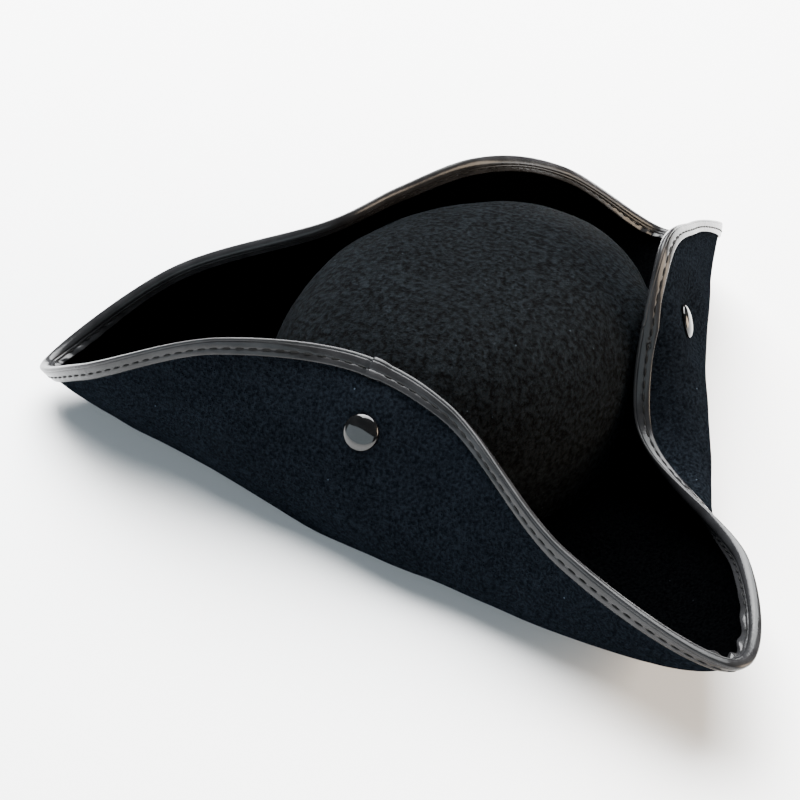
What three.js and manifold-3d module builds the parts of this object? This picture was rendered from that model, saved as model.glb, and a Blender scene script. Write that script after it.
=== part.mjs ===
// A tricorn hat of black felt, in millimetres.
// A moulded crown stands in a brim that is turned up on three sides. Tape is folded round the
// brim's edge, and each flap is pressed to the crown by one stud with a domed cap.
// +Z is up, -Y is the wearer's front, +X the wearer's left. The origin is the middle of the
// hat's box on the surface it rests on.
import * as THREE from "three";
import { mergeVertices } from "three/addons/utils/BufferGeometryUtils.js";
import Module from "manifold-3d";

const CROWN_LENGTH = 202;
const CROWN_WIDTH = 148;
const CROWN_HEIGHT = 87.5;
const CROWN_FULLNESS = 3.3;
const CROWN_TURN = -8;
const FELT = 2.2;
const BRIM_WIDTH = 97;
const FLAP_HEIGHT = 80;
const BINDING_WIDTH = 8;
const BINDING_THICKNESS = 0.8;
const CAP_DIAMETER = 15;
const CAP_RISE = 3.4;
const CAP_RIM = 0.9;
const PRESS_DIAMETER = 10;
const BALL_DIAMETER = 6;
const SHANK_DIAMETER = 4;
const SOCKET_DEPTH = 2.4;
const BALL_HEIGHT = 1.5;
const WASHER_THICKNESS = 0.8;
const DRAW_SPREAD = 30;
const SEAT_FLAT = 1.3;
const SEAT_FADE = 3.2;
const CLEARANCE = 0.3;

// Faces round the crown and up it, sections between two rows of the table, faces round a stud.
const CROWN_SIDES = 48;
const CROWN_RINGS = 12;
const STEPS_PER_SECTION = 5;
const BRIM_STATIONS = 8;
const STUD_SIDES = 14;

// One row a section of the brim, seen in the upright plane at its azimuth. The section is one
// soft curve: flat at the head line, guided by the foot and the wall, and ended at the edge.
// Azimuths are degrees from the front towards the wearer's left. Reaches are shares of the brim's
// width, outward from the head line, and rises are shares of the flap's height.
const SECTIONS = [
  { azimuth: 0, foot: 0.36, wall: 0.75, wallRise: -0.05, edge: 0.94, edgeRise: 0.16 },
  { azimuth: 14, foot: 0.32, wall: 0.67, wallRise: 0.07, edge: 0.46, edgeRise: 0.75 },
  { azimuth: 33, foot: 0.26, wall: 0.35, wallRise: 0.33, edge: 0, edgeRise: 1.08 },
  { azimuth: 61, foot: 0.3, wall: 0.28, wallRise: 0.44, edge: -0.06, edgeRise: 1.03 },
  { azimuth: 89, foot: 0.36, wall: 0.44, wallRise: 0.34, edge: -0.01, edgeRise: 0.95 },
  { azimuth: 108, foot: 0.47, wall: 0.79, wallRise: 0.11, edge: 0.62, edgeRise: 0.6 },
  { azimuth: 122, foot: 0.53, wall: 0.85, wallRise: -0.03, edge: 1.07, edgeRise: 0.2 },
  { azimuth: 135, foot: 0.37, wall: 0.67, wallRise: -0.06, edge: 0.82, edgeRise: 0.52 },
  { azimuth: 153, foot: 0.18, wall: 0.48, wallRise: 0.19, edge: 0.21, edgeRise: 0.96 },
  { azimuth: 179, foot: 0.06, wall: 0.28, wallRise: 0.5, edge: -0.21, edgeRise: 0.99 },
  { azimuth: 207, foot: 0.36, wall: 0.53, wallRise: 0.22, edge: -0.01, edgeRise: 0.92 },
  { azimuth: 227, foot: 0.56, wall: 0.9, wallRise: -0.04, edge: 0.76, edgeRise: 0.67 },
  { azimuth: 241, foot: 0.62, wall: 1.09, wallRise: -0.03, edge: 1.43, edgeRise: 0.49 },
  { azimuth: 255, foot: 0.56, wall: 0.91, wallRise: 0.11, edge: 0.95, edgeRise: 0.43 },
  { azimuth: 275, foot: 0.47, wall: 0.71, wallRise: 0.38, edge: 0.08, edgeRise: 0.42 },
  { azimuth: 303, foot: 0.26, wall: 0.41, wallRise: 0.38, edge: -0.05, edgeRise: 1.23 },
  { azimuth: 329, foot: 0.12, wall: 0.55, wallRise: 0.37, edge: 0.12, edgeRise: 1.05 },
  { azimuth: 347, foot: 0.25, wall: 0.66, wallRise: 0.06, edge: 0.71, edgeRise: 0.54 },
];

// One row a press stud. Its root is on the moulded crown at the azimuth and at a share of the
// crown's height. It faces along an azimuth, tilted up, both in degrees. The crown is drawn out
// to it by a share of the spread.
const STUD_ROWS = [
  { side: "left", azimuth: 60, rise: 0.6, facing: 62, tilt: 20, drawn: 0.2 },
  { side: "back", azimuth: 187.8, rise: 0.605, facing: 190, tilt: 32, drawn: 0.06 },
  { side: "right", azimuth: 303, rise: 0.65, facing: 299, tilt: 19, drawn: 0.367 },
];

const wasm = await Module();
wasm.setup();

const FELT_BLACK = { color: 0x1b1d20, roughness: 0.95, metalness: 0 };
const TAPE_BLACK = { color: 0x2a2b2d, roughness: 0.35, metalness: 0 };
const ENAMEL_BLACK = { color: 0x0b0b0c, roughness: 0.12, metalness: 0.3 };

function polar(azimuth, reach, rise) {
  return new THREE.Vector3(reach * Math.sin(azimuth), -reach * Math.cos(azimuth), rise);
}

// Distance of the crown's outer face from the axis at the head line.
function headLine(azimuth) {
  const turned = azimuth - THREE.MathUtils.degToRad(CROWN_TURN);
  const across = Math.sin(turned) / (CROWN_WIDTH / 2);
  const along = Math.cos(turned) / (CROWN_LENGTH / 2);
  return 1 / Math.hypot(across, along);
}

// A point of the moulded crown, on its outer face or sunk below it by one felt. The turn runs
// from the head line, 0, to the top, a quarter turn.
function mouldedPoint(azimuth, turn, sunk) {
  const narrowing = Math.pow(Math.cos(turn), 2 / CROWN_FULLNESS);
  const rise = Math.pow(Math.sin(turn), 2 / CROWN_FULLNESS) * (CROWN_HEIGHT - sunk);
  return polar(azimuth, (headLine(azimuth) - sunk) * narrowing, rise);
}

// Space between the crown and the flap at a stud: flange, ball and socket with their clearances.
const STUD_GAP = 3 * CLEARANCE + WASHER_THICKNESS + SOCKET_DEPTH;

const STUDS = STUD_ROWS.map(({ side, azimuth, rise, facing, tilt, drawn }) => {
  const turn = Math.asin(Math.pow(rise, CROWN_FULLNESS / 2));
  const root = mouldedPoint(THREE.MathUtils.degToRad(azimuth), turn, 0);
  const lift = THREE.MathUtils.degToRad(tilt);
  const out = polar(THREE.MathUtils.degToRad(facing), Math.cos(lift), Math.sin(lift));
  const pull = drawn * DRAW_SPREAD;
  const seat = root.clone().addScaledVector(out, pull);
  const capSeat = seat.clone().addScaledVector(out, STUD_GAP + FELT);
  return { side, root, out, pull, seat, capSeat };
});

// How far the felt swells past the faces that clamp it.
const SWELL = CLEARANCE / 2;

// Felt is pressed flat where a stud clamps it, and eases back to its own curve further off.
function pressedFlat(point, diameter, seatOf) {
  const radius = diameter / 2;
  for (const stud of STUDS) {
    const offset = seatOf(stud).sub(point);
    const depth = offset.dot(stud.out);
    const away = Math.sqrt(Math.max(offset.lengthSq() - depth * depth, 0)) / radius;
    if (Math.abs(depth) < 2 * radius) {
      const hold = 1 - THREE.MathUtils.smoothstep(away, SEAT_FLAT, SEAT_FADE);
      point.addScaledVector(stud.out, depth * hold);
    }
  }
  return point;
}

// The soft crown is drawn out towards each stud by the flap that hangs on it.
function crownPoint(azimuth, turn, sunk) {
  const point = mouldedPoint(azimuth, turn, sunk);
  const moulded = point.clone();
  for (const { root, out, pull } of STUDS) {
    const hold = 1 - THREE.MathUtils.smoothstep(moulded.distanceTo(root), 0, DRAW_SPREAD);
    point.addScaledVector(out, pull * hold);
  }
  const level = sunk > 0 ? -sunk - SWELL : SWELL;
  return pressedFlat(point, PRESS_DIAMETER, ({ seat, out }) => seat.clone().addScaledVector(out, level));
}

function lofted(points) {
  return new THREE.CatmullRomCurve3(points, true, "centripetal");
}

const RADIANS = SECTIONS.map((row) => THREE.MathUtils.degToRad(row.azimuth));
const headGuide = lofted(RADIANS.map((azimuth) => polar(azimuth, headLine(azimuth), 0)));
const footGuide = lofted(guidePoints((row) => [row.foot, 0]));
const wallGuide = lofted(guidePoints((row) => [row.wall, row.wallRise]));
const edgeGuide = lofted(guidePoints((row) => [row.edge, row.edgeRise]));

function guidePoints(pick) {
  return SECTIONS.map((row, i) => {
    const [reach, rise] = pick(row);
    return polar(RADIANS[i], headLine(RADIANS[i]) + reach * BRIM_WIDTH, rise * FLAP_HEIGHT);
  });
}

// The inner end of a section lies on the true head line, one clearance outside the crown.
function headPoint(around) {
  const guide = headGuide.getPoint(around);
  const azimuth = Math.atan2(guide.x, -guide.y);
  return polar(azimuth, headLine(azimuth) + CLEARANCE, 0);
}

// The brim's under and outer face: around goes once round the hat, along from head line to edge.
function brimPoint(around, along) {
  const curve = new THREE.CubicBezierCurve3(
    headPoint(around),
    footGuide.getPoint(around),
    wallGuide.getPoint(around),
    edgeGuide.getPoint(around),
  );
  const swollen = ({ capSeat, out }) => capSeat.clone().addScaledVector(out, SWELL);
  return pressedFlat(curve.getPoint(along), CAP_DIAMETER, swollen);
}

// The way from the brim's under face into the felt.
function intoFelt(around, along) {
  const step = 0.004;
  const before = Math.max(along - step, 0);
  const after = Math.min(along + step, 1);
  const outward = brimPoint(around, after).sub(brimPoint(around, before));
  const turned = brimPoint((around + step / 4) % 1, along);
  const sideways = turned.sub(brimPoint((around + 1 - step / 4) % 1, along));
  return outward.cross(sideways).normalize();
}

// Points of one section at given distances inward from the edge, and evenly on to the head line.
function sectionShares(around, fromEdge) {
  const fine = 60;
  const lengths = [0];
  let last = brimPoint(around, 1);
  for (let i = 1; i <= fine; i += 1) {
    const next = brimPoint(around, 1 - i / fine);
    lengths.push(lengths[i - 1] + next.distanceTo(last));
    last = next;
  }
  return fromEdge.map((distance) => {
    let i = 1;
    while (i < fine && lengths[i] < distance) i += 1;
    const part = (distance - lengths[i - 1]) / (lengths[i] - lengths[i - 1]);
    return 1 - (i - 1 + part) / fine;
  });
}

const AROUND_COUNT = SECTIONS.length * STEPS_PER_SECTION;
const AROUND = Array.from({ length: AROUND_COUNT }, (_, i) => i / AROUND_COUNT);

// A closed band: rows of points round the hat, each row the same closed loop of one section.
// Each four-sided face is split along its shorter diagonal.
function closedBand(rows) {
  const across = rows[0].length;
  const points = rows.flat();
  const positions = points.flatMap((p) => [p.x, p.y, p.z]);
  const index = [];
  for (let i = 0; i < rows.length; i += 1) {
    const next = (i + 1) % rows.length;
    for (let j = 0; j < across; j += 1) {
      const side = (j + 1) % across;
      const a = i * across + j;
      const b = i * across + side;
      const c = next * across + side;
      const d = next * across + j;
      const shorter = points[a].distanceTo(points[c]) <= points[b].distanceTo(points[d]);
      index.push(...(shorter ? [a, b, c, a, c, d] : [a, b, d, b, c, d]));
    }
  }
  const geometry = new THREE.BufferGeometry();
  geometry.setAttribute("position", new THREE.Float32BufferAttribute(positions, 3));
  geometry.setIndex(index);
  return geometry;
}

function solid(geometry) {
  const bare = geometry.clone();
  bare.deleteAttribute("normal");
  bare.deleteAttribute("uv");
  const merged = mergeVertices(bare, 1e-4);
  return new wasm.Manifold(new wasm.Mesh({
    numProp: 3,
    vertProperties: new Float32Array(merged.attributes.position.array),
    triVerts: new Uint32Array(merged.index.array),
  }));
}

function geometryOf(manifold) {
  const { vertProperties, triVerts } = manifold.getMesh();
  const geometry = new THREE.BufferGeometry();
  geometry.setAttribute("position", new THREE.BufferAttribute(new Float32Array(vertProperties), 3));
  geometry.setIndex(new THREE.BufferAttribute(new Uint32Array(triVerts), 1));
  return geometry;
}

// Turns a shape made along +Z so that it stands at a point and points along a direction.
function stoodAt(geometry, point, direction) {
  const turn = new THREE.Quaternion().setFromUnitVectors(new THREE.Vector3(0, 0, 1), direction);
  return geometry.clone().applyQuaternion(turn).translate(point.x, point.y, point.z);
}

// A felt wall with a round hole at each stud. The felt is pressed flat to its own thickness
// between the two faces that clamp it, so the cut is a spool round the stud's axis.
function clamped(wall, outerDiameter, innerDiameter, place) {
  const outer = outerDiameter / 2 + CLEARANCE;
  const inner = innerDiameter / 2 + CLEARANCE;
  const hole = SHANK_DIAMETER / 2 + CLEARANCE;
  const reach = 3 * FELT;
  const spool = turned([
    [0, -FELT - reach],
    [inner, -FELT - reach],
    [inner, -FELT],
    [hole, -FELT],
    [hole, 0],
    [outer, 0],
    [outer, reach],
    [0, reach],
  ]);
  const cuts = STUDS.map((stud) => solid(stoodAt(spool, place(stud), stud.out)));
  return geometryOf(cuts.reduce((felt, cut) => felt.subtract(cut), solid(wall)));
}

// The crown is one felt wall: outer face, head rim and inner face, turned round by azimuth.
function crown() {
  const ringTurn = (j) => (Math.PI / 2) * Math.pow(j / CROWN_RINGS, CROWN_FULLNESS / 2);
  const turns = Array.from({ length: CROWN_RINGS }, (_, j) => ringTurn(j));
  const rows = [];
  for (let i = 0; i < CROWN_SIDES; i += 1) {
    const azimuth = (2 * Math.PI * i) / CROWN_SIDES;
    const outer = turns.map((turn) => crownPoint(azimuth, turn, 0));
    const inner = turns.map((turn) => crownPoint(azimuth, turn, FELT));
    const top = polar(0, 0, CROWN_HEIGHT);
    const under = polar(0, 0, CROWN_HEIGHT - FELT);
    rows.push([under, top, ...outer.reverse(), ...inner]);
  }
  const geometry = closedBand(rows);
  return clamped(withoutSlivers(geometry), PRESS_DIAMETER, PRESS_DIAMETER, ({ seat }) => seat);
}

// Drops the faces that shrink to nothing where a band's points meet on the axis.
function withoutSlivers(geometry) {
  const merged = mergeVertices(geometry, 1e-4);
  const corners = Array.from(merged.index.array);
  const kept = [];
  for (let i = 0; i < corners.length; i += 3) {
    const [a, b, c] = corners.slice(i, i + 3);
    if (a !== b && b !== c && c !== a) kept.push(a, b, c);
  }
  merged.setIndex(kept);
  return merged;
}

// The felt stops short of the fold of the tape, by the tape's thickness and a clearance.
const FELT_EDGE = BINDING_THICKNESS + CLEARANCE;
const UNDER_TAPE = [FELT_EDGE, (FELT_EDGE + BINDING_WIDTH) / 2, BINDING_WIDTH];

function brim() {
  const rows = AROUND.map((around) => {
    const taped = sectionShares(around, UNDER_TAPE);
    const start = taped[taped.length - 1];
    const open = Array.from({ length: BRIM_STATIONS }, (_, j) => start * (1 - (j + 1) / BRIM_STATIONS));
    const shares = [...taped, ...open];
    const under = shares.map((along) => brimPoint(around, along));
    const over = shares.map((along, j) => under[j].clone().addScaledVector(intoFelt(around, along), FELT));
    return [...under, ...over.reverse()];
  });
  return clamped(closedBand(rows), CAP_DIAMETER, PRESS_DIAMETER, ({ capSeat }) => capSeat);
}

// Tape folded over the felt's edge: outer leg, fold and inner leg, each point given by its
// distance in from the fold and its height above the brim's under face.
function edgeBinding() {
  const below = -CLEARANCE;
  const above = FELT + CLEARANCE;
  const tape = BINDING_THICKNESS;
  const middle = FELT / 2;
  const outline = [
    [BINDING_WIDTH, below],
    [UNDER_TAPE[1], below],
    [tape, below],
    [tape, above],
    [UNDER_TAPE[1], above],
    [BINDING_WIDTH, above],
    [BINDING_WIDTH, above + tape],
    [UNDER_TAPE[1], above + tape],
    [tape, above + tape],
    [0, middle],
    [tape, below - tape],
    [UNDER_TAPE[1], below - tape],
    [BINDING_WIDTH, below - tape],
  ];
  const rows = AROUND.map((around) => {
    const shares = sectionShares(around, outline.map(([distance]) => distance));
    return outline.map(([, height], j) => {
      const into = intoFelt(around, shares[j]);
      return brimPoint(around, shares[j]).addScaledVector(into, height);
    });
  });
  return closedBand(rows);
}

function turned(profile) {
  const points = profile.map(([radius, height]) => new THREE.Vector2(radius, height));
  return withoutSlivers(bareLathe(points)).rotateX(Math.PI / 2);
}

function bareLathe(points) {
  const lathe = new THREE.LatheGeometry(points, STUD_SIDES);
  lathe.deleteAttribute("normal");
  lathe.deleteAttribute("uv");
  return lathe;
}

// The outer half of the press stud: domed cap, shank through the flap and socket behind it.
// Heights run outward from the flap's outer face.
function snapCap() {
  const cap = CAP_DIAMETER / 2;
  const shank = SHANK_DIAMETER / 2;
  const socket = PRESS_DIAMETER / 2;
  const ballRoom = BALL_DIAMETER / 2 + CLEARANCE;
  const flapInner = -FELT - CLEARANCE;
  const socketEnd = flapInner - SOCKET_DEPTH;
  const roomTop = socketEnd + BALL_HEIGHT + CLEARANCE;
  const domed = [0.93, 0.75, 0.5, 0.25].map((share) => {
    const lift = Math.sqrt(1 - share * share);
    return [cap * share, CLEARANCE + CAP_RIM + (CAP_RISE - CAP_RIM) * lift];
  });
  return turned([
    [0, roomTop],
    [ballRoom, roomTop],
    [ballRoom, socketEnd],
    [socket, socketEnd],
    [socket, flapInner],
    [shank, flapInner],
    [shank, CLEARANCE],
    [cap, CLEARANCE],
    [cap, CLEARANCE + CAP_RIM],
    ...domed,
    [0, CLEARANCE + CAP_RISE],
  ]);
}

// The inner half: washer inside the crown, shank through its wall, flange and ball outside it.
// Heights run outward from the crown's outer face.
function snapPost() {
  const flange = PRESS_DIAMETER / 2;
  const shank = SHANK_DIAMETER / 2;
  const ball = BALL_DIAMETER / 2;
  const washerTop = -FELT - CLEARANCE;
  const flangeTop = CLEARANCE + WASHER_THICKNESS;
  return turned([
    [0, washerTop - WASHER_THICKNESS],
    [flange, washerTop - WASHER_THICKNESS],
    [flange, washerTop],
    [shank, washerTop],
    [shank, CLEARANCE],
    [flange, CLEARANCE],
    [flange, flangeTop],
    [ball, flangeTop],
    [ball, flangeTop + BALL_HEIGHT],
    [0, flangeTop + BALL_HEIGHT],
  ]);
}

function piece(name, geometry, finish) {
  geometry.computeVertexNormals();
  const mesh = new THREE.Mesh(geometry, new THREE.MeshStandardMaterial(finish));
  mesh.name = name;
  return mesh;
}

const hat = new THREE.Group();
hat.add(piece("crown", crown(), FELT_BLACK));
hat.add(piece("brim", brim(), FELT_BLACK));
hat.add(piece("edge_binding", edgeBinding(), TAPE_BLACK));
for (const { side, seat, out, capSeat } of STUDS) {
  hat.add(piece(`snap_cap_${side}`, stoodAt(snapCap(), capSeat, out), ENAMEL_BLACK));
  hat.add(piece(`snap_post_${side}`, stoodAt(snapPost(), seat, out), ENAMEL_BLACK));
}

const box = new THREE.Box3().setFromObject(hat, true);
const middle = box.getCenter(new THREE.Vector3());
hat.position.set(-middle.x, -middle.y, -box.min.z);

export default hat;
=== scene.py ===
import bpy
import numpy as np
from mathutils import Matrix, Vector, noise


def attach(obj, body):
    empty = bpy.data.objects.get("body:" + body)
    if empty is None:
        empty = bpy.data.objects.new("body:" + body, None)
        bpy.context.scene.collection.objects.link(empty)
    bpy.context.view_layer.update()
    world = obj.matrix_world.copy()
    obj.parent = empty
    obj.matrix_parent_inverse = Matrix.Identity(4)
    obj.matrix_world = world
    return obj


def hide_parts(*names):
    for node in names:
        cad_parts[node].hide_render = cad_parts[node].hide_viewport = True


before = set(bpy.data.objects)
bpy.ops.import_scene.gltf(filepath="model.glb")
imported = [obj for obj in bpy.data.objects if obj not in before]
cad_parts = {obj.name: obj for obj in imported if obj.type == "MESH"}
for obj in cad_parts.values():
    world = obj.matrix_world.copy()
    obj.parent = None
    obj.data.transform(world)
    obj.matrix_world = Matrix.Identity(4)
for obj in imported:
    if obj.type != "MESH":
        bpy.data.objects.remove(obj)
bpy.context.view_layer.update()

MM = 0.001

# The hat's sizes in millimetres, and its sections, as in the CAD source.
CROWN_LENGTH = 202
CROWN_WIDTH = 148
CROWN_HEIGHT = 87.5
CROWN_FULLNESS = 3.3
CROWN_TURN = -8
FELT = 2.2
BRIM_WIDTH = 97
FLAP_HEIGHT = 80
BINDING_WIDTH = 8
BINDING_THICKNESS = 0.8
CAP_DIAMETER = 15
CAP_RISE = 3.4
CAP_RIM = 0.9
PRESS_DIAMETER = 10
BALL_DIAMETER = 6
SHANK_DIAMETER = 4
SOCKET_DEPTH = 2.4
BALL_HEIGHT = 1.5
WASHER_THICKNESS = 0.8
DRAW_SPREAD = 30
SEAT_FLAT = 1.3
SEAT_FADE = 3.2
CLEARANCE = 0.3
SWELL = CLEARANCE / 2
# azimuth, foot, wall, wall rise, edge, edge rise
SECTIONS = np.array([
    (0, 0.36, 0.75, -0.05, 0.94, 0.16),
    (14, 0.32, 0.67, 0.07, 0.46, 0.75),
    (33, 0.26, 0.35, 0.33, 0, 1.08),
    (61, 0.3, 0.28, 0.44, -0.06, 1.03),
    (89, 0.36, 0.44, 0.34, -0.01, 0.95),
    (108, 0.47, 0.79, 0.11, 0.62, 0.6),
    (122, 0.53, 0.85, -0.03, 1.07, 0.2),
    (135, 0.37, 0.67, -0.06, 0.82, 0.52),
    (153, 0.18, 0.48, 0.19, 0.21, 0.96),
    (179, 0.06, 0.28, 0.5, -0.21, 0.99),
    (207, 0.36, 0.53, 0.22, -0.01, 0.92),
    (227, 0.56, 0.9, -0.04, 0.76, 0.67),
    (241, 0.62, 1.09, -0.03, 1.43, 0.49),
    (255, 0.56, 0.91, 0.11, 0.95, 0.43),
    (275, 0.47, 0.71, 0.38, 0.08, 0.42),
    (303, 0.26, 0.41, 0.38, -0.05, 1.23),
    (329, 0.12, 0.55, 0.37, 0.12, 1.05),
    (347, 0.25, 0.66, 0.06, 0.71, 0.54),
])
# side, azimuth, rise, facing, tilt, drawn
STUD_ROWS = [
    ("left", 60, 0.6, 62, 20, 0.2),
    ("back", 187.8, 0.605, 190, 32, 0.06),
    ("right", 303, 0.65, 299, 19, 0.367),
]
# For each tip: its row of SECTIONS, and the height and spacing of the tape's puckers there.
TIP_PUCKERS = [
    (0, 0.8, 11.0),
    (6, 0.9, 10.0),
    (12, 2.0, 14.5),
]
# The row where the tape's two ends meet, and how far one laps over the other.
JOINT_ROW = 9.15
LAP_LENGTH = 11
# The felt's soft lumps: size, seed and height.
CROWN_LUMPS = [(38, 1, 0.9), (15, 2, 0.35)]
BRIM_LUMPS = [(45, 5, 0.7), (16, 6, 0.25)]

# The crown's rim tells where the hat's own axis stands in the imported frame.
rim = np.array([v.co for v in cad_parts["crown"].data.vertices])
rim = rim[rim[:, 2] < rim[:, 2].min() + 1e-5]
AXIS = (rim.min(0) + rim.max(0)) / 2 / MM


def smooth(x, low, high):
    t = np.clip((x - low) / (high - low), 0, 1)
    return t * t * (3 - 2 * t)


def length(v):
    return np.linalg.norm(v, axis=-1)


def unit(v):
    return v / length(v)[..., None]


def polar(azimuth, reach, rise):
    azimuth, reach, rise = np.broadcast_arrays(azimuth, reach, rise)
    return np.stack([reach * np.sin(azimuth), -reach * np.cos(azimuth), rise], -1)


def head_line(azimuth):
    """Reach of the oval that the crown stands on."""
    turned = azimuth - np.radians(CROWN_TURN)
    return 1 / np.hypot(np.sin(turned) / (CROWN_WIDTH / 2), np.cos(turned) / (CROWN_LENGTH / 2))


def moulded(azimuth, turn, sunk):
    """The crown as it leaves its block. turn runs from 0 at the rim to a right angle at the top."""
    narrowing = np.abs(np.cos(turn)) ** (2 / CROWN_FULLNESS)
    rise = np.abs(np.sin(turn)) ** (2 / CROWN_FULLNESS) * (CROWN_HEIGHT - sunk)
    return polar(azimuth, (head_line(azimuth) - sunk) * narrowing, rise)


def stud_place(side, azimuth, rise, facing, tilt, drawn):
    """Where a stud's post and cap sit, and the way out along its axis."""
    root = moulded(np.radians(azimuth), np.arcsin(rise ** (CROWN_FULLNESS / 2)), 0)
    tilt = np.radians(tilt)
    out = polar(np.radians(facing), np.cos(tilt), np.sin(tilt))
    pull = drawn * DRAW_SPREAD
    seat = root + out * pull
    gap = 3 * CLEARANCE + WASHER_THICKNESS + SOCKET_DEPTH
    cap = seat + out * (gap + FELT)
    return {"side": side, "root": root, "out": out, "pull": pull, "seat": seat, "cap": cap}


STUDS = [stud_place(*row) for row in STUD_ROWS]


def pressed_flat(point, diameter, place, level):
    """Felt pressed flat at a level above each stud's place, easing back to its own curve."""
    radius = diameter / 2
    for stud in STUDS:
        out = stud["out"]
        offset = stud[place] + out * level - point
        depth = offset @ out
        away = np.sqrt(np.maximum(length(offset) ** 2 - depth**2, 0)) / radius
        hold = (1 - smooth(away, SEAT_FLAT, SEAT_FADE)) * (np.abs(depth) < 2 * radius)
        point = point + (depth * hold)[..., None] * out
    return point


def crown_point(azimuth, turn, sunk):
    """The crown's felt, drawn out towards each stud and pressed flat under it."""
    point = moulded(azimuth, turn, sunk)
    drawn = point.copy()
    for stud in STUDS:
        hold = 1 - smooth(length(point - stud["root"]), 0, DRAW_SPREAD)
        drawn += (stud["pull"] * hold)[..., None] * stud["out"]
    return pressed_flat(drawn, PRESS_DIAMETER, "seat", -sunk - SWELL if sunk else SWELL)


def lofted(points, u):
    """Closed centripetal Catmull-Rom curve through points, u in spans."""
    n = len(points)
    i = np.floor(u).astype(int)
    w = (u - i)[:, None]
    p0, p1, p2, p3 = (points[(i + k) % n] for k in (-1, 0, 1, 2))
    d0, d1, d2 = (np.sqrt(length(b - a))[:, None] for a, b in ((p0, p1), (p1, p2), (p2, p3)))
    t1 = ((p1 - p0) / d0 - (p2 - p0) / (d0 + d1) + (p2 - p1) / d1) * d1
    t2 = ((p2 - p1) / d1 - (p3 - p1) / (d1 + d2) + (p3 - p2) / d2) * d1
    return p1 + t1 * w + (3 * (p2 - p1) - 2 * t1 - t2) * w**2 + (2 * (p1 - p2) + t1 + t2) * w**3


RADIANS = np.radians(SECTIONS[:, 0])
HEAD = head_line(RADIANS)
GUIDES = [
    polar(RADIANS, HEAD, 0),
    polar(RADIANS, HEAD + SECTIONS[:, 1] * BRIM_WIDTH, 0),
    polar(RADIANS, HEAD + SECTIONS[:, 2] * BRIM_WIDTH, SECTIONS[:, 3] * FLAP_HEIGHT),
    polar(RADIANS, HEAD + SECTIONS[:, 4] * BRIM_WIDTH, SECTIONS[:, 5] * FLAP_HEIGHT),
]


def brim_point(u, v):
    """The brim's under and outer face. u counts sections round the hat, v runs 0 to 1 to the edge."""
    at_head, foot, wall, edge = (lofted(guide, u)[:, None, :] for guide in GUIDES)
    azimuth = np.arctan2(at_head[..., 0], -at_head[..., 1])
    at_head = polar(azimuth, head_line(azimuth) + CLEARANCE, 0)
    v = np.broadcast_to(v, (len(u), np.shape(v)[-1]))[..., None]
    w = 1 - v
    point = w**3 * at_head + 3 * w * w * v * foot + 3 * w * v * v * wall + v**3 * edge
    return pressed_flat(point, CAP_DIAMETER, "cap", SWELL)


def into_felt(u, v, step_out=0.004, step_round=0.02):
    """The way from the brim's under face into the felt."""
    v = np.broadcast_to(v, (len(u), np.shape(v)[-1]))
    outward = brim_point(u, np.minimum(v + step_out, 1)) - brim_point(u, np.maximum(v - step_out, 0))
    sideways = brim_point(u + step_round, v) - brim_point(u - step_round, v)
    return unit(np.cross(outward, sideways))


def shares_from_edge(u, distances, stations=161):
    """For each section, the v of points at given distances in from the edge, in millimetres."""
    v = np.linspace(1, 0, stations)
    points = brim_point(u, v)
    run = np.cumsum(length(np.diff(points, axis=1)), axis=1)
    run = np.concatenate([np.zeros((len(u), 1)), run], axis=1)
    wanted = np.broadcast_to(distances, (len(u), np.shape(distances)[-1]))
    return np.array([np.interp(d, r, v) for d, r in zip(wanted, run)])


def ring_of_tape(count, stations=7201):
    """Sections spaced evenly along the brim's edge, and the run of the edge at each."""
    u = np.linspace(0, len(SECTIONS), stations)
    edge = brim_point(u, np.array([1.0]))[:, 0]
    run = np.concatenate([[0], np.cumsum(length(np.diff(edge, axis=0)))])
    even = np.arange(count) * run[-1] / count
    return np.interp(even, run, u), even, run[-1]


def grain(points, size, seed):
    """Smooth noise at each point, about -1 to 1, with lumps of the given size in millimetres."""
    flat = points.reshape(-1, 3) / size + seed * 17.3
    return np.array([noise.noise(Vector(p)) for p in flat]).reshape(points.shape[:-1])


def unevenness(points, lumps):
    return sum(grain(points, size, seed) * height for size, seed, height in lumps)


def mesh_piece(name, points, faces, replaces, material, inside=None, is_inside=None):
    mesh = bpy.data.meshes.new(name)
    mesh.from_pydata(((points + AXIS) * MM).tolist(), [], faces)
    mesh.validate()
    mesh.polygons.foreach_set("use_smooth", [True] * len(mesh.polygons))
    mesh.materials.append(material)
    if inside:
        mesh.materials.append(inside)
        mesh.polygons.foreach_set("material_index", is_inside)
    mesh.update()
    piece = bpy.data.objects.new(name, mesh)
    bpy.context.scene.collection.objects.link(piece)
    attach(piece, "root")
    if replaces:
        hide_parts(*replaces)
    return piece


def band(rows, columns):
    """Faces of a closed loop swept round the hat: a grid that closes both ways."""
    faces = []
    for i in range(rows):
        a, b = i * columns, (i + 1) % rows * columns
        for j in range(columns):
            k = (j + 1) % columns
            faces.append((a + j, a + k, b + k, b + j))
    return faces


def node_material(name, **values):
    material = bpy.data.materials.new(name)
    material.use_nodes = True
    shader = material.node_tree.nodes["Principled BSDF"]
    for key, value in values.items():
        shader.inputs[key.replace("_", " ")].default_value = value
    return material, material.node_tree.nodes, material.node_tree.links, shader


def noise_node(nodes, links, coordinates, size, detail, roughness=0.6):
    """Noise whose lumps are about size metres across."""
    node = nodes.new("ShaderNodeTexNoise")
    node.inputs["Scale"].default_value = 1 / size
    node.inputs["Detail"].default_value = detail
    node.inputs["Roughness"].default_value = roughness
    links.new(coordinates.outputs["Object"], node.inputs["Vector"])
    return node


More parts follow.
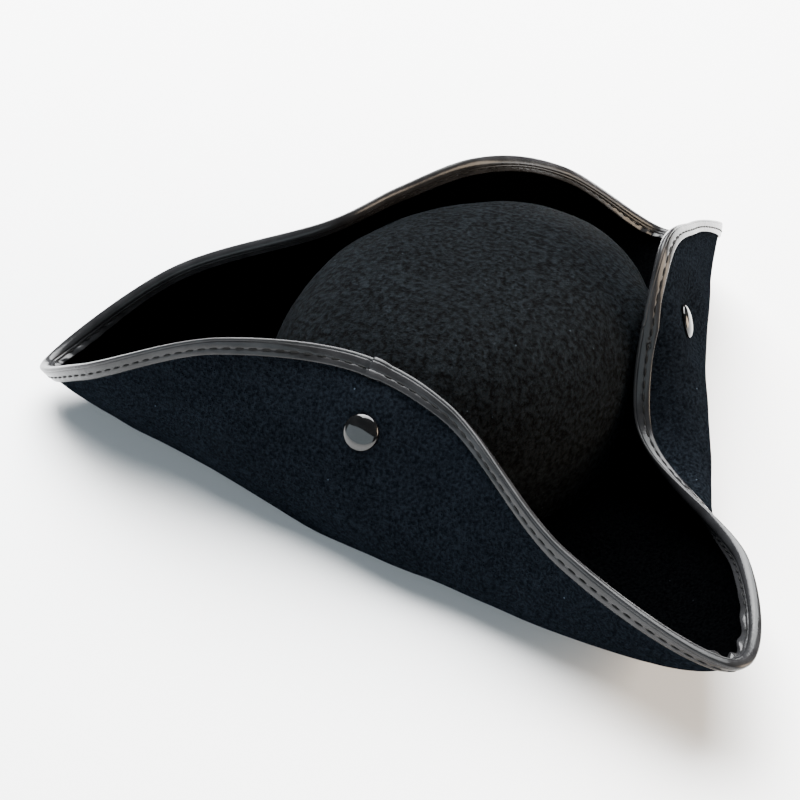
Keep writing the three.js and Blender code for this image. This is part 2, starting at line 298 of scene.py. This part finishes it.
def ramp_node(nodes, links, source, stops):
    node = nodes.new("ShaderNodeValToRGB")
    ramp = node.color_ramp
    while len(ramp.elements) < len(stops):
        ramp.elements.new(0.5)
    for element, (place, colour) in zip(ramp.elements, stops):
        element.position = place
        element.color = (*colour, 1)
    links.new(source, node.inputs["Fac"])
    return node


def bump_node(nodes, links, height, strength, distance, before=None):
    node = nodes.new("ShaderNodeBump")
    node.inputs["Strength"].default_value = strength
    node.inputs["Distance"].default_value = distance
    links.new(height, node.inputs["Height"])
    if before:
        links.new(before.outputs["Normal"], node.inputs["Normal"])
    return node


def mix_node(nodes, links, blend, a, b):
    node = nodes.new("ShaderNodeMix")
    node.data_type = "RGBA"
    node.blend_type = blend
    node.inputs["Factor"].default_value = 1
    links.new(a, node.inputs["A"])
    links.new(b, node.inputs["B"])
    return node


LINT_PER_METRE = 85


def felt_material(name, dark, light, clump, clump_depth, contrast, gloss):
    """Felt: matted clumps of wool under single fibres, with slow drifts of tone and a little lint.

    clump is the size of the clumps in metres, and contrast how far either tone reaches into the other.
    """
    material, nodes, links, shader = node_material(
        name, Roughness=0.95, Specular_IOR_Level=gloss, Sheen_Weight=gloss / 8, Sheen_Roughness=0.5,
    )
    place = nodes.new("ShaderNodeTexCoord")
    drift = noise_node(nodes, links, place, 0.03, 3)
    clumps = noise_node(nodes, links, place, clump, 3, 0.58)
    fibres = noise_node(nodes, links, place, clump / 4, 2, 0.7)
    wool = [(0.5 - contrast, dark), (0.5 + contrast, light)]
    tone = ramp_node(nodes, links, clumps.outputs["Fac"], wool)
    cloud = ramp_node(nodes, links, drift.outputs["Fac"], [(0.35, (0.82,) * 3), (0.65, (1,) * 3)])
    clouded = mix_node(nodes, links, "MULTIPLY", tone.outputs["Color"], cloud.outputs["Color"])
    lint = nodes.new("ShaderNodeTexVoronoi")
    lint.inputs["Scale"].default_value = LINT_PER_METRE
    links.new(place.outputs["Object"], lint.inputs["Vector"])
    lint_tone = [6 * c for c in light]
    fleck = ramp_node(nodes, links, lint.outputs["Distance"], [(0.018, lint_tone), (0.032, (0,) * 3)])
    dusted = mix_node(nodes, links, "ADD", clouded.outputs["Result"], fleck.outputs["Color"])
    links.new(dusted.outputs["Result"], shader.inputs["Base Color"])
    under = bump_node(nodes, links, clumps.outputs["Fac"], 1, clump_depth)
    over = bump_node(nodes, links, fibres.outputs["Fac"], 0.8, clump_depth / 4, under)
    links.new(over.outputs["Normal"], shader.inputs["Normal"])
    return material


def tape_material():
    """Coated tape: nearly smooth, faint grain, gloss that varies with handling."""
    material, nodes, links, shader = node_material("taped_edge", Specular_IOR_Level=0.145)
    place = nodes.new("ShaderNodeTexCoord")
    rubbed = noise_node(nodes, links, place, 0.012, 4)
    skin = noise_node(nodes, links, place, 0.0006, 2)
    creased = noise_node(nodes, links, place, 0.004, 3)
    coating = [(0.35, (0.008, 0.008, 0.0085)), (0.7, (0.015, 0.015, 0.016))]
    tone = ramp_node(nodes, links, rubbed.outputs["Fac"], coating)
    links.new(tone.outputs["Color"], shader.inputs["Base Color"])
    gloss = ramp_node(nodes, links, rubbed.outputs["Fac"], [(0.3, (0.16,) * 3), (0.7, (0.26,) * 3)])
    links.new(gloss.outputs["Color"], shader.inputs["Roughness"])
    under = bump_node(nodes, links, creased.outputs["Fac"], 0.5, 0.00025)
    over = bump_node(nodes, links, skin.outputs["Fac"], 0.3, 0.00005, under)
    links.new(over.outputs["Normal"], shader.inputs["Normal"])
    return material


def thread_material():
    material, nodes, links, shader = node_material(
        "black_thread", Roughness=0.8, Specular_IOR_Level=0.12,
    )
    place = nodes.new("ShaderNodeTexCoord")
    twist = noise_node(nodes, links, place, 0.0004, 2)
    tone = ramp_node(nodes, links, twist.outputs["Fac"], [(0.3, (0.0015,) * 3), (0.7, (0.006,) * 3)])
    links.new(tone.outputs["Color"], shader.inputs["Base Color"])
    ply = bump_node(nodes, links, twist.outputs["Fac"], 0.6, 0.0001)
    links.new(ply.outputs["Normal"], shader.inputs["Normal"])
    return material


def enamel_material(name, low, high):
    """Baked black enamel, with light scuffs in its gloss."""
    material, nodes, links, shader = node_material(name, Specular_IOR_Level=0.38)
    place = nodes.new("ShaderNodeTexCoord")
    scuffs = noise_node(nodes, links, place, 0.003, 5)
    tone = ramp_node(nodes, links, scuffs.outputs["Fac"], [(0.3, (0.002,) * 3), (0.8, (0.005,) * 3)])
    links.new(tone.outputs["Color"], shader.inputs["Base Color"])
    gloss = ramp_node(nodes, links, scuffs.outputs["Fac"], [(0.35, (low,) * 3), (0.75, (high,) * 3)])
    links.new(gloss.outputs["Color"], shader.inputs["Roughness"])
    orange_peel = bump_node(nodes, links, scuffs.outputs["Fac"], 0.15, 0.00005)
    links.new(orange_peel.outputs["Normal"], shader.inputs["Normal"])
    return material


CROWN_FELT = felt_material(
    "crown_felt_nap", dark=(0.0007, 0.0010, 0.0013), light=(0.0126, 0.0164, 0.0200),
    clump=0.0022, clump_depth=0.0072, contrast=0.13, gloss=0.03,
)
BRIM_FELT = felt_material(
    "brim_felt_nap", dark=(0.0036, 0.0049, 0.0069), light=(0.0130, 0.0173, 0.0235),
    clump=0.0013, clump_depth=0.0030, contrast=0.14, gloss=0,
)
# Painted shade: the brim's upper face is the same felt as its under face, coloured far darker to stand
# in for the shade between the crown and the flaps.
BRIM_INSIDE_PAINTED_SHADE = felt_material(
    "brim_inside_painted_shade", dark=(0.0001, 0.0001, 0.0002), light=(0.0007, 0.0008, 0.0009),
    clump=0.0012, clump_depth=0.0005, contrast=0.15, gloss=0,
)
TAPE = tape_material()
THREAD = thread_material()
ENAMEL = enamel_material("cap_enamel", low=0.03, high=0.08)
PLAIN_ENAMEL = enamel_material("post_enamel", low=0.25, high=0.4)


def crown_felt():
    sides, rings = 300, 90
    azimuth = np.linspace(0, 2 * np.pi, sides, endpoint=False)[:, None]
    turns = np.pi / 2 * np.linspace(0, 0.985, rings) ** 0.92
    outer = crown_point(azimuth, turns[None], 0)
    inner = crown_point(azimuth, turns[None, ::2], FELT)
    soft = unevenness(outer, CROWN_LUMPS)
    beside = np.min([length(outer - (stud["root"] + stud["cap"]) / 2) for stud in STUDS], axis=0)
    hold = (smooth(outer[..., 2], 4, 20) * smooth(beside, 20, 45))[..., None]
    heart = np.array([0, 0, 20])
    outer = outer + unit(outer - heart) * soft[..., None] * hold
    top = np.array([[0, 0, outer[:, -1, 2].mean() + 0.05]])
    under = np.array([[0, 0, CROWN_HEIGHT - FELT]])
    rows = np.concatenate([outer[:, ::-1], inner], axis=1)
    columns = rows.shape[1]
    faces = []
    for i in range(sides):
        a, b = i * columns, (i + 1) % sides * columns
        faces += [(a + j, a + j + 1, b + j + 1, b + j) for j in range(columns - 1)]
        faces.append((sides * columns, a, b))
        faces.append((sides * columns + 1, b + columns - 1, a + columns - 1))
    points = np.concatenate([rows.reshape(-1, 3), top, under])
    mesh_piece("felt_crown", points, faces, ["crown"], CROWN_FELT)


# How far in from the edge the felt starts inside its tape, and the least rise of the felt off the floor.
FELT_IN_TAPE = 3.2
OFF_FLOOR = 0.03


def brim_felt():
    sides, stations = 432, 64
    u = np.linspace(0, len(SECTIONS), sides, endpoint=False)
    taped = shares_from_edge(u, np.linspace(FELT_IN_TAPE, BINDING_WIDTH, 5))
    v = np.concatenate([taped, taped[:, -1:] * np.linspace(1, 0, stations)[None, 1:]], axis=1)
    under, into = brim_point(u, v), into_felt(u, v)
    soft = unevenness(under, BRIM_LUMPS)
    seats = np.min([length(under - stud["cap"]) for stud in STUDS], axis=0)
    tape_end = taped[:, -1:]
    hold = (1 - smooth(v, tape_end - 0.12, tape_end)) * smooth(v, 0, 0.1) * smooth(seats, 9, 22)
    under = under + into * (soft * hold)[..., None]
    over = under + into * FELT
    rows = np.concatenate([under, over[:, ::-1]], axis=1)
    rows[..., 2] = np.maximum(rows[..., 2], OFF_FLOOR - AXIS[2])
    faces = band(*rows.shape[:2])
    # The upper faces take the darker, painted-shade copy of the brim's felt.
    is_inside = [int(i % rows.shape[1] >= under.shape[1] - 1) for i in range(len(faces))]
    mesh_piece(
        "felt_brim", rows.reshape(-1, 3), faces, ["brim"], BRIM_FELT,
        inside=BRIM_INSIDE_PAINTED_SHADE, is_inside=is_inside,
    )


# Distances in from the brim's edge to the tape's creases and stitches, and the level of its fold.
CREASE = 1.3
INNER_CREASE = 3.4
STITCH_LINE = 5.0
CREST = -0.3
STITCH_PITCH = 5.6
STITCH_LENGTH = 3.9
STITCH_ARCH = 0.12
STITCH_SINK = 0.16
THREAD_RADIUS = 0.44
# How deep each stitch pulls the tape in, the tape's free edge stands off, and the joint cuts in.
STITCH_PULL = 0.18
FREE_EDGE_LIFT = 0.55
JOINT_GROOVE = 0.5
PUCKER_REACH = 36
SIDES_OF_TAPE = 1300
# The tape's rows, as distances in from the edge: its outer leg, its inner leg, and against the felt.
LEG = np.concatenate([[8.0, 7.97, 7.8], np.linspace(7.4, CREASE + 0.2, 24), [CREASE]])
INNER_LEG = np.concatenate([
    [INNER_CREASE],
    np.linspace(INNER_CREASE + 0.3, 7.4, 18),
    [7.8, 7.97, 8.0],
])
HIDDEN_FACE = [8.0, 5.5, 3.0, 3.0, 5.5, 8.0]


def tape_leg(distance, crease):
    """How far the tape's face stands off the felt along one leg, beyond its own thickness."""
    swell = 0.13 * np.sin(np.pi * np.clip((distance - crease) / (STITCH_LINE - crease), 0, 1))
    swell += 0.13 * np.sin(np.pi * np.clip((distance - STITCH_LINE) / (8.6 - STITCH_LINE), 0, 1))
    swell -= 0.26 * np.exp(-(((distance - STITCH_LINE) / 0.5) ** 2))
    swell -= 0.3 * np.exp(-(((distance - crease) / 0.3) ** 2))
    return swell - 0.55 * smooth(distance, 7.75, 8.0)


def binding():
    u, run, total = ring_of_tape(SIDES_OF_TAPE)
    stitches = round(total / STITCH_PITCH)
    between = 0.5 + 0.5 * np.cos(2 * np.pi * run / total * stitches)
    stand = CLEARANCE + BINDING_THICKNESS
    down = np.radians(np.linspace(-84, 0, 8))
    over = np.radians(np.linspace(0, 84, 9))[1:]
    distance = np.concatenate([
        LEG,
        CREASE * (1 - np.cos(down)),
        INNER_CREASE * (1 - np.cos(over)),
        INNER_LEG,
        HIDDEN_FACE,
    ])
    height = np.concatenate([
        -stand - tape_leg(LEG, CREASE),
        CREST + (CREST + stand) * np.sin(down),
        CREST + (FELT + stand - CREST) * np.sin(over),
        FELT + stand + tape_leg(INNER_LEG, INNER_CREASE),
        [FELT + CLEARANCE] * 3 + [-CLEARANCE] * 3,
    ])
    shares = shares_from_edge(u, distance)
    points, into = brim_point(u, shares), into_felt(u, shares)
    lift = np.broadcast_to(height, shares.shape).copy()
    outer = slice(0, len(LEG))
    inner_end = len(height) - len(HIDDEN_FACE)
    inner = slice(inner_end - len(INNER_LEG), inner_end)
    lift[:, outer] -= STITCH_PULL * np.exp(-(((LEG - STITCH_LINE) / 0.7) ** 2)) * between[:, None]
    lift[:, inner] += STITCH_PULL * np.exp(-(((INNER_LEG - STITCH_LINE) / 0.7) ** 2)) * between[:, None]
    lift[:, inner] += FREE_EDGE_LIFT * smooth(INNER_LEG, STITCH_LINE + 0.3, 8)
    lift[:, inner_end] += 0.5
    for row, height_of_pucker, wave in TIP_PUCKERS:
        off = (run - np.interp(row, u, run) + total / 2) % total - total / 2
        pucker = np.exp(-((off / PUCKER_REACH) ** 2)) * height_of_pucker
        ripple = 0.5 + 0.5 * np.sin(2 * np.pi * off / wave + 1.1 * np.sin(off / 9))
        lift[:, inner] += (pucker * ripple)[:, None] * smooth(INNER_LEG, 3.4, 6.5)
    start = np.interp(JOINT_ROW, u, run)
    lift[:, outer] += JOINT_GROOVE * np.exp(-(((run - start + 0.5) / 0.75) ** 2))[:, None]
    lap_u = np.interp(start + np.linspace(0, LAP_LENGTH, 13), run, u)
    lapped = slice(0, len(LEG) + len(down) + len(over) // 2)
    lap_over(lap_u, distance[lapped], height[lapped])
    mesh_piece(
        "tape_edge", (points + into * lift[..., None]).reshape(-1, 3), band(*shares.shape),
        ["edge_binding"], TAPE,
    )
    return u, run, total, stitches


def lap_over(u, distance, height):
    """The tape's free end, lapped over its beginning and sinking into it along its length."""
    shares = shares_from_edge(u, distance)
    points, into = brim_point(u, shares), into_felt(u, shares)
    outward = unit(np.gradient(points + into * height[None, :, None], axis=1))
    outward = unit(np.cross(outward, np.gradient(points, axis=0)))
    outward *= np.sign(-(outward * into).sum(-1)[:, :1])[..., None]
    taper = 1 - 1.4 * smooth(np.linspace(0, 1, len(u)), 0.2, 1)[:, None, None]
    low = points + into * height[None, :, None] - outward * 0.15
    top = low + outward * (0.2 + 0.75 * taper)
    rows = np.concatenate([low, top[:, ::-1]], axis=1)
    columns = rows.shape[1]
    faces = band(*rows.shape[:2])[: (len(u) - 1) * columns]
    faces += [tuple(range(columns))[::-1], tuple(range((len(u) - 1) * columns, len(u) * columns))]
    piece = mesh_piece("tape_lap", rows.reshape(-1, 3), faces, [], TAPE)
    piece.data.polygons.foreach_set("use_smooth", [i < len(faces) - 2 for i in range(len(faces))])


def stitch_rows(u, run, total, stitches):
    """One thread through the tape: a short stitch on each side, sunk in its groove."""
    rings, corners = 7, 6
    along = np.linspace(-0.5, 0.5, rings) * STITCH_LENGTH
    width = THREAD_RADIUS * np.sqrt(np.maximum(1 - (np.abs(along) / (STITCH_LENGTH / 2)) ** 6, 0.06))
    places = (np.arange(stitches)[:, None] + 0.5) * total / stitches + along[None]
    at = np.interp(places.ravel() % total, np.append(run, total), np.append(u, len(SECTIONS)))
    share = shares_from_edge(at, np.array([STITCH_LINE - 0.35, STITCH_LINE, STITCH_LINE + 0.35]))
    points, into = brim_point(at, share), into_felt(at, share)
    across = unit(points[:, 2] - points[:, 0])
    middle, out = points[:, 1], into[:, 1]
    vertices, faces = [], []
    arch = np.tile(STITCH_ARCH * np.cos(np.pi * along / STITCH_LENGTH), stitches)
    stand = BINDING_THICKNESS + CLEARANCE - STITCH_SINK
    width = np.tile(width, stitches)[:, None, None]
    turn = np.linspace(0, 2 * np.pi, corners, endpoint=False)[None, :, None]
    for side in (-1, 1):
        height = (-stand - arch) if side < 0 else (FELT + stand + arch)
        centre = middle + out * height[:, None]
        ring = centre[:, None] + width * (np.cos(turn) * across[:, None] + np.sin(turn) * out[:, None])
        base = len(vertices) * stitches * rings * corners
        vertices.append(ring.reshape(-1, 3))
        for s in range(stitches):
            start = base + s * rings * corners
            for r in range(rings - 1):
                a, b = start + r * corners, start + (r + 1) * corners
                for k in range(corners):
                    m = (k + 1) % corners
                    faces.append((a + k, a + m, b + m, b + k))
            faces.append(tuple(start + k for k in reversed(range(corners))))
            faces.append(tuple(start + (rings - 1) * corners + k for k in range(corners)))
    mesh_piece("stitches", np.concatenate(vertices), faces, [], THREAD)


def turned_piece(name, profile, stud, place, replaces, material, sides=56):
    """A profile of radii and heights turned round a stud's axis."""
    out = Vector(stud["out"])
    basis = np.array(out.to_track_quat("Z", "Y").to_matrix())
    turn = np.linspace(0, 2 * np.pi, sides, endpoint=False)
    rows = np.array([[(r * np.cos(t), r * np.sin(t), h) for r, h in profile] for t in turn])
    points = rows @ basis.T + place
    columns = len(profile)
    faces = []
    for i in range(sides):
        a, b = i * columns, (i + 1) % sides * columns
        for j in range(columns - 1):
            faces.append((a + j, b + j, b + j + 1, a + j + 1))
    piece = mesh_piece(name, points.reshape(-1, 3), faces, replaces, material)
    merge = piece.modifiers.new("merge", "WELD")
    merge.merge_threshold = 1e-6


def cap_profile():
    cap, shank, socket = CAP_DIAMETER / 2, SHANK_DIAMETER / 2, PRESS_DIAMETER / 2
    ball_room = BALL_DIAMETER / 2 + CLEARANCE
    flap = -FELT - CLEARANCE
    socket_end = flap - SOCKET_DEPTH
    room_top = socket_end + BALL_HEIGHT + CLEARANCE
    dome = []
    for angle in np.radians(np.linspace(0, 90, 26)):
        share = np.cos(angle) ** 0.86
        dome.append((cap * share, CLEARANCE + CAP_RIM + (CAP_RISE - CAP_RIM) * np.sin(angle) ** 1.12))
    return [
        (0, room_top), (ball_room, room_top), (ball_room, socket_end), (socket, socket_end),
        (socket, flap), (shank, flap), (shank, CLEARANCE), (cap - 0.9, CLEARANCE),
        (cap - 0.45, CLEARANCE + 0.02), (cap - 0.12, CLEARANCE + 0.2), *dome[:-1],
        (0, CLEARANCE + CAP_RISE),
    ]


def post_profile():
    flange, shank, ball = PRESS_DIAMETER / 2, SHANK_DIAMETER / 2, BALL_DIAMETER / 2
    washer_top = -FELT - CLEARANCE
    flange_top = CLEARANCE + WASHER_THICKNESS
    low = washer_top - WASHER_THICKNESS
    return [
        (0, low), (1.2, low), (1.5, low + 0.25), (flange - 0.5, low), (flange, low + 0.3),
        (flange, washer_top), (shank, washer_top), (shank, CLEARANCE), (flange, CLEARANCE),
        (flange, flange_top - 0.2),
        (flange - 0.2, flange_top), (ball, flange_top), (ball, flange_top + BALL_HEIGHT - 0.3),
        (ball - 0.4, flange_top + BALL_HEIGHT), (0, flange_top + BALL_HEIGHT),
    ]


crown_felt()
brim_felt()
stitch_rows(*binding())
for stud in STUDS:
    side = stud["side"]
    turned_piece(
        f"stud_cap_{side}", cap_profile(), stud, stud["cap"], [f"snap_cap_{side}"], ENAMEL,
    )
    turned_piece(
        f"stud_post_{side}", post_profile(), stud, stud["seat"], [f"snap_post_{side}"],
        PLAIN_ENAMEL,
    )


# The camera of the photograph. SCALE is in pixels a millimetre, and AXIS_X and AXIS_Y are where the
# foot of the hat's own axis falls in the picture.
CAMERA_AZIMUTH, CAMERA_ELEVATION, CAMERA_ROLL = np.radians([-147.6, 35.8, 4.3])
CAMERA_DISTANCE = 900
PICTURE_WIDTH = 800
SENSOR_WIDTH = 36
SCALE = 2.23
AXIS_X, AXIS_Y = 458.3, 421.9
SHIFT_X = (AXIS_X - PICTURE_WIDTH / 2) / SCALE
SHIFT_Y = (PICTURE_WIDTH / 2 - AXIS_Y) / SCALE
back = np.array([
    np.sin(CAMERA_AZIMUTH) * np.cos(CAMERA_ELEVATION),
    -np.cos(CAMERA_AZIMUTH) * np.cos(CAMERA_ELEVATION),
    np.sin(CAMERA_ELEVATION),
])
level = np.array([np.cos(CAMERA_AZIMUTH), np.sin(CAMERA_AZIMUTH), 0])
above = np.cross(back, level)
right = np.cos(CAMERA_ROLL) * level + np.sin(CAMERA_ROLL) * above
up = np.cos(CAMERA_ROLL) * above - np.sin(CAMERA_ROLL) * level
place = (AXIS + back * CAMERA_DISTANCE - right * SHIFT_X - up * SHIFT_Y) * MM
camera = bpy.data.objects.new("camera", bpy.data.cameras.new("camera"))
bpy.context.scene.collection.objects.link(camera)
camera.data.sensor_width = SENSOR_WIDTH
camera.data.lens = SCALE * CAMERA_DISTANCE * SENSOR_WIDTH / PICTURE_WIDTH
camera.data.clip_start, camera.data.clip_end = 0.05, 50
camera.matrix_world = Matrix((
    (right[0], up[0], back[0], place[0]),
    (right[1], up[1], back[1], place[1]),
    (right[2], up[2], back[2], place[2]),
    (0, 0, 0, 1),
))
bpy.context.scene.camera = camera


AIM_HEIGHT = 0.04


def soft_light(name, direction, distance, size, power, tone=(1, 1, 1), height=None):
    """A softbox that faces the hat. Lengths are in metres and power in watts."""
    light = bpy.data.lights.new(name, "AREA")
    light.shape = "RECTANGLE"
    light.size = size
    light.size_y = height or size
    light.energy = power
    light.color = tone
    lamp = bpy.data.objects.new(name, light)
    bpy.context.scene.collection.objects.link(lamp)
    way = Vector(direction).normalized()
    lamp.location = way * distance + Vector((0, 0, AIM_HEIGHT))
    lamp.rotation_mode = "QUATERNION"
    lamp.rotation_quaternion = way.to_track_quat("Z", "Y")


far = -np.array([back[0], back[1], 0]) / np.hypot(back[0], back[1])
aside = level
rise = np.array([0, 0, 1])
soft_light("key", far * 0.8 - aside * 0.3 + rise, distance=1.7, size=1.3, power=80)
soft_light(
    "overhead", rise + far * 0.55 - aside * 0.05,
    distance=1.9, size=2.2, power=310, tone=(0.97, 0.99, 1),
)
soft_light(
    "side", aside * 0.95 + rise * 0.13 - far * 0.15,
    distance=1.6, size=1.4, power=125, tone=(1, 0.8, 0.6),
)
soft_light(
    "card", -far * 0.78 - aside * 0.55 + rise * 0.2,
    distance=2.4, size=5.2, power=88, tone=(0.8, 0.93, 1), height=1.6,
)

HALF_FLOOR = 6
floor_mesh = bpy.data.meshes.new("floor")
corners = [(x * HALF_FLOOR, y * HALF_FLOOR, 0) for x, y in ((-1, -1), (1, -1), (1, 1), (-1, 1))]
floor_mesh.from_pydata(corners, [], [(0, 1, 2, 3)])
floor_material = node_material(
    "pale_floor", Base_Color=(0.95, 0.95, 0.95, 1), Roughness=0.9, Specular_IOR_Level=0.1,
)[0]
floor_mesh.materials.append(floor_material)
floor = bpy.data.objects.new("floor", floor_mesh)
bpy.context.scene.collection.objects.link(floor)

world = bpy.data.worlds.new("studio")
world.use_nodes = True
world.node_tree.nodes["Background"].inputs["Color"].default_value = (0.75, 0.92, 1.1, 1)
world.node_tree.nodes["Background"].inputs["Strength"].default_value = 0.12
bpy.context.scene.world = world
